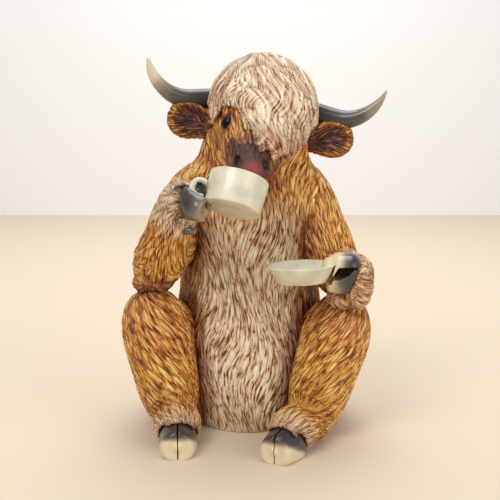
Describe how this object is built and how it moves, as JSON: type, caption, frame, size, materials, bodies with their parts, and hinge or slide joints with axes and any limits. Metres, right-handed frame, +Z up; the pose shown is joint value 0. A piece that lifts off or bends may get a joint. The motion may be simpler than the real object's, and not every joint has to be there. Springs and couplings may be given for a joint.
{
  "type": "cow figurine",
  "caption": "Seated shaggy long-horned cow ornament of painted cast resin, knees up, drinking from a teacup in one hoof and holding a saucer in the other.",
  "frame": {"origin": "centre of the torso's flat seat, on the table", "axes": "+Z up, the cow faces -Y, the cow's own left side is +X"},
  "size_m": [0.1119, 0.1113, 0.1604],
  "materials": {
    "fur": "cast resin carved as fur, ochre brown paint with a dark wash in the grooves and a pale dry-brush on the ridges",
    "forelock": "cast resin carved as long hair, cream paint with a pinkish brown wash",
    "nose": "glossy purple-brown paint, pink-red between the nostrils",
    "eye": "glossy black bead",
    "horn": "satin dark grey paint that fades to cream at the tip",
    "hoof": "glossy dark grey paint that fades to cream at the toe",
    "crockery": "off-white gloss paint over cast resin",
    "dowel": "plain hardwood rod",
    "pin": "plain steel wire"
  },
  "bodies": {
    "root": {"cup": "crockery", "cup_handle": "crockery", "forelock": "forelock", "head": "fur", "left_ear": "fur", "left_fore_lower_claw": "hoof", "left_fore_upper_claw": "hoof", "left_foreleg": "fur", "left_hind_left_claw": "hoof", "left_hind_leg": "fur", "left_hind_right_claw": "hoof", "left_hip_dowel": "dowel", "left_horn": "horn", "left_horn_pin": "pin", "left_shoulder_dowel": "dowel", "neck_dowel": "dowel", "nose_pad": "nose", "right_ear": "fur", "right_eye": "eye", "right_fore_lower_claw": "hoof", "right_fore_dewclaw": "hoof", "right_fore_upper_claw": "hoof", "right_foreleg": "fur", "right_hind_left_claw": "hoof", "right_hind_leg": "fur", "right_hind_right_claw": "hoof", "right_hip_dowel": "dowel", "right_horn": "horn", "right_horn_pin": "pin", "right_shoulder_dowel": "dowel", "saucer": "crockery", "tail": "fur", "tail_tuft": "forelock", "torso": "fur"}
  },
  "joints": []
}
